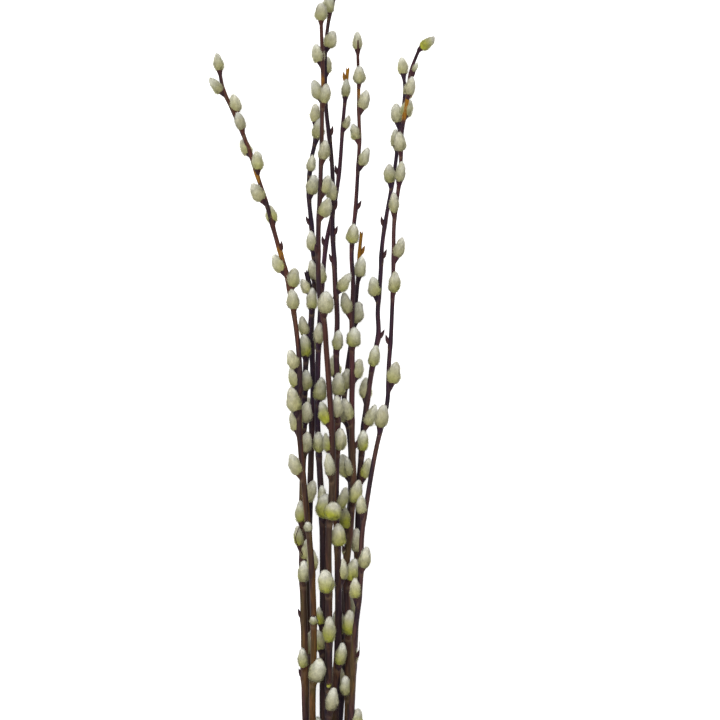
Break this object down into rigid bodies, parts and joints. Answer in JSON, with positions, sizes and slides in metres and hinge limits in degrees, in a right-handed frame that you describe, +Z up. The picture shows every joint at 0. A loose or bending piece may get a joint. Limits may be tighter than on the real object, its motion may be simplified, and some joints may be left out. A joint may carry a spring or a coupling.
{
  "type": "pussy willow branch bunch",
  "caption": "Gathered bunch of cut pussy willow branches with furry catkins and bare buds, held by a plain rubber band, lying on its side.",
  "frame": {"origin": "under the middle of the bunch's bounding box, on the surface that the bunch lies on", "axes": "+Y along the branches from their cut ends to their tips, +Z up from the surface, +X across the bunch"},
  "size_m": [0.1838, 0.7724, 0.0739],
  "materials": {
    "bark": "smooth purple-brown young bark",
    "catkin_fur": "soft silvery fur",
    "band_rubber": "matt natural rubber"
  },
  "bodies": {
    "root": {"branch_left_outer": "bark", "branch_left_inner": "bark", "branch_left_back": "bark", "branch_crossing": "bark", "branch_centre_front": "bark", "branch_centre_tall": "bark", "branch_short_stub": "bark", "branch_centre_right": "bark", "branch_right_inner": "bark", "branch_right_outer": "bark", "rubber_band": "band_rubber"}
  },
  "joints": []
}
